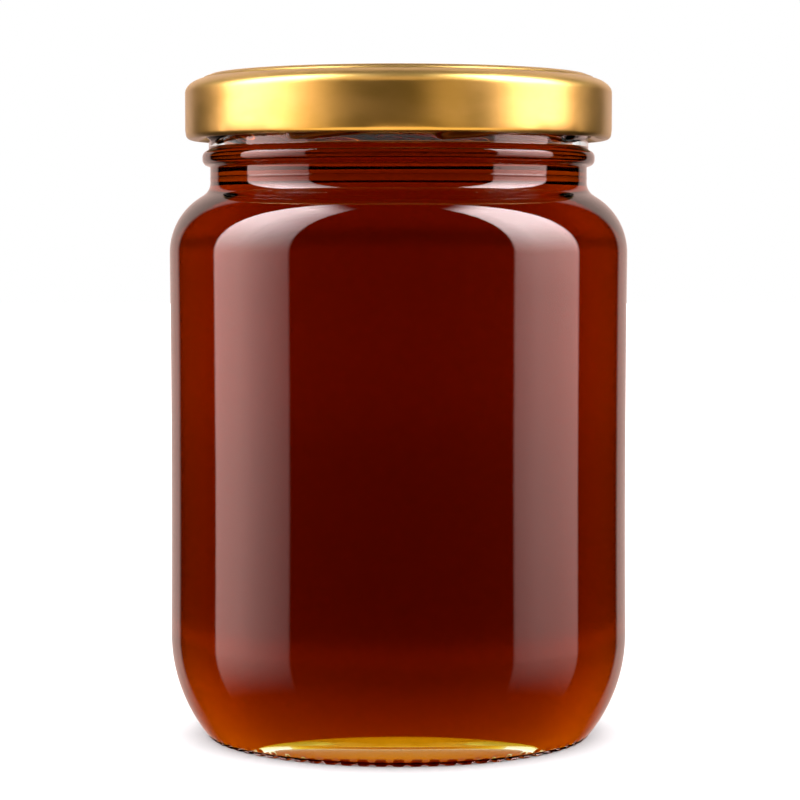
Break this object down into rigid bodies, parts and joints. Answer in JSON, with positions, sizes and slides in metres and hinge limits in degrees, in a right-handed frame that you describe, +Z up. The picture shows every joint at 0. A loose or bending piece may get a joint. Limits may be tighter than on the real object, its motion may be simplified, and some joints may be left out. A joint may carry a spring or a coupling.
{
  "type": "honey jar",
  "caption": "Round glass jar of dark honey with rounded shoulder and heel, a beaded neck and a gold twist-off lid.",
  "frame": {"origin": "centre of the bearing ring that the jar stands on", "axes": "+Z up along the jar's axis, -Y towards the front"},
  "size_m": [0.0917, 0.0916, 0.1324],
  "materials": {
    "glass": "clear moulded container glass",
    "honey": "clear dark honey, wet against the glass",
    "gold_lacquer": "satin gold lacquer on pressed tinplate"
  },
  "bodies": {
    "root": {"jar": "glass", "honey": "honey", "lid": "gold_lacquer"}
  },
  "joints": []
}
